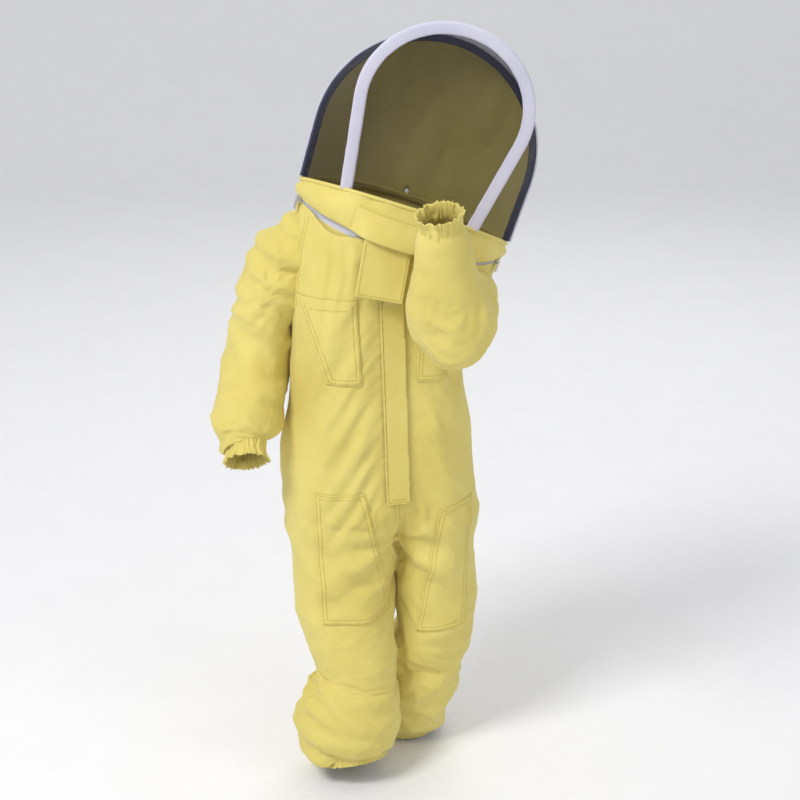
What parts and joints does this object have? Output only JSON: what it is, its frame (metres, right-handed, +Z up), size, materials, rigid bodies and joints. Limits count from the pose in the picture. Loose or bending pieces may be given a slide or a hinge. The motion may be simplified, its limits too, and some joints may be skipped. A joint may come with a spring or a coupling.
{
  "type": "child's beekeeping suit",
  "caption": "One-piece hooded protective suit for a child, with a hooped veil hood, round-the-neck and front zips, neck flap, pockets, knee patches and elastic cuffs.",
  "frame": {"origin": "middle of the collar, where the hood meets the suit", "axes": "+Z up, the wearer faces -Y, +X towards the wearer's left"},
  "size_m": [0.4392, 0.3236, 1.0655],
  "materials": {
    "cotton": "matte twill",
    "binding": "matte",
    "veil": "open mesh",
    "hoop_wire": "satin",
    "zip_tape": "matte",
    "zip_coil": "satin",
    "zip_metal": "polished",
    "elastic": "ribbed",
    "hook_and_loop": "napped"
  },
  "bodies": {
    "torso": {"torso_back": "cotton", "torso_front_left": "cotton", "torso_front_right": "cotton", "yoke_facing": "cotton", "neck_band": "cotton", "back_waist_elastic": "elastic", "zip_tape_right": "zip_tape", "zip_tape_left": "zip_tape", "zip_teeth_right": "zip_coil", "zip_teeth_left": "zip_coil", "zip_bottom_stop": "zip_coil", "zip_fly": "cotton", "chest_pocket_right": "cotton", "chest_pocket_left": "cotton", "flap_loop_patch": "hook_and_loop", "neck_zip_lower_tape": "zip_tape", "neck_zip_lower_coil": "zip_coil"},
    "hood": {"collar_band": "cotton", "collar_top_binding": "cotton", "front_arch_band": "binding", "front_hoop": "hoop_wire", "rear_arch_band": "binding", "rear_hoop": "hoop_wire", "veil_front": "veil", "veil_gusset_left": "veil", "veil_gusset_top": "veil", "veil_gusset_right": "veil", "hood_back": "cotton", "neck_zip_upper_tape": "zip_tape", "neck_zip_upper_coil": "zip_coil", "flap_seam": "cotton"},
    "flap": {"neck_flap": "cotton", "flap_hook_patch": "hook_and_loop"},
    "front_slider": {"front_zip_slider": "zip_metal"},
    "front_pull": {"front_zip_pull": "zip_metal"},
    "neck_slider_right": {"neck_slider_right": "zip_metal"},
    "neck_slider_left": {"neck_slider_left": "zip_metal"},
    "neck_pull_right": {"neck_pull_right": "zip_metal"},
    "neck_pull_left": {"neck_pull_left": "zip_metal"},
    "upper_arm_right": {"upper_sleeve_right": "cotton"},
    "forearm_right": {"lower_sleeve_right": "cotton", "cuff_casing_right": "cotton", "cuff_elastic_right": "elastic"},
    "thigh_right": {"thigh_right": "cotton", "knee_patch_right": "cotton", "hip_pocket_right": "cotton"},
    "shin_right": {"shin_right": "cotton", "ankle_casing_right": "cotton", "ankle_elastic_right": "elastic"},
    "upper_arm_left": {"upper_sleeve_left": "cotton"},
    "forearm_left": {"lower_sleeve_left": "cotton", "cuff_casing_left": "cotton", "cuff_elastic_left": "elastic"},
    "thigh_left": {"thigh_left": "cotton", "knee_patch_left": "cotton", "hip_pocket_left": "cotton"},
    "shin_left": {"shin_left": "cotton", "ankle_casing_left": "cotton", "ankle_elastic_left": "elastic"}
  },
  "joints": [
    {"name": "hood_fold", "type": "hinge", "parent": "torso", "child": "hood", "pos_m": [-0.00208, 0.08878, -0.0081], "axis": [-0.9511, 0, 0.309], "range_deg": [0, 80]},
    {"name": "neck_flap_lift", "type": "hinge", "parent": "hood", "child": "flap", "pos_m": [-0.018, -0.114, -0.011], "axis": [-0.9848, 0, 0.1736], "range_deg": [0, 100]},
    {"name": "front_zip_slide", "type": "slide", "parent": "torso", "child": "front_slider", "axis": [0.0309, 0.0055, -0.9995], "range_m": [0, 0.312]},
    {"name": "front_pull_swing", "type": "hinge", "parent": "front_slider", "child": "front_pull", "pos_m": [-0.01538, -0.09602, -0.05297], "axis": [0.9843, 0.1736, 0.0314], "range_deg": [-40, 0]},
    {"name": "neck_zip_slide_right", "type": "hinge", "parent": "torso", "child": "neck_slider_right", "pos_m": [-0.00292, 0.04988, -0.01068], "axis": [0.3083, -0.0698, 0.9487], "range_deg": [0, 60]},
    {"name": "neck_pull_swing_right", "type": "hinge", "parent": "neck_slider_right", "child": "neck_pull_right", "pos_m": [-0.14241, -0.0207, 0.02945], "axis": [0.3975, -0.8966, -0.1951], "range_deg": [-70, 0]},
    {"name": "shoulder_right", "type": "hinge", "parent": "torso", "child": "upper_arm_right", "pos_m": [-0.14, 0, -0.064], "axis": [0, 1, 0], "range_deg": [0, 55]},
    {"name": "elbow_right", "type": "hinge", "parent": "upper_arm_right", "child": "forearm_right", "pos_m": [-0.205, 0.02, -0.215], "axis": [-0.9127, -0.174, 0.3698], "range_deg": [-45, 40]},
    {"name": "hip_right", "type": "hinge", "parent": "torso", "child": "thigh_right", "pos_m": [-0.10097, -0.01181, -0.392], "axis": [-0.9848, -0.1736, 0], "range_deg": [-20, 24]},
    {"name": "knee_right", "type": "hinge", "parent": "thigh_right", "child": "shin_right", "pos_m": [-0.088, -0.045, -0.545], "axis": [0.9848, 0.1736, 0], "range_deg": [0, 65]},
    {"name": "neck_zip_slide_left", "type": "hinge", "parent": "torso", "child": "neck_slider_left", "pos_m": [-0.00292, 0.04988, -0.01068], "axis": [-0.3083, 0.0698, -0.9487], "range_deg": [0, 60]},
    {"name": "neck_pull_swing_left", "type": "hinge", "parent": "neck_slider_left", "child": "neck_pull_left", "pos_m": [0.13352, -0.0207, -0.0602], "axis": [0.4363, 0.8966, -0.0758], "range_deg": [-70, 0]},
    {"name": "shoulder_left", "type": "hinge", "parent": "torso", "child": "upper_arm_left", "pos_m": [0.078, 0.005, -0.129], "axis": [0, 0, 1], "range_deg": [0, 36]},
    {"name": "elbow_left", "type": "hinge", "parent": "upper_arm_left", "child": "forearm_left", "pos_m": [0.066, -0.15, -0.11], "axis": [-0.9932, 0.0651, -0.096], "range_deg": [-60, 5]},
    {"name": "hip_left", "type": "hinge", "parent": "torso", "child": "thigh_left", "pos_m": [0.03297, 0.01181, -0.392], "axis": [-0.9848, -0.1736, 0], "range_deg": [-20, 35]},
    {"name": "knee_left", "type": "hinge", "parent": "thigh_left", "child": "shin_left", "pos_m": [0.047, 0.005, -0.565], "axis": [0.9848, 0.1736, 0], "range_deg": [0, 65]}
  ]
}
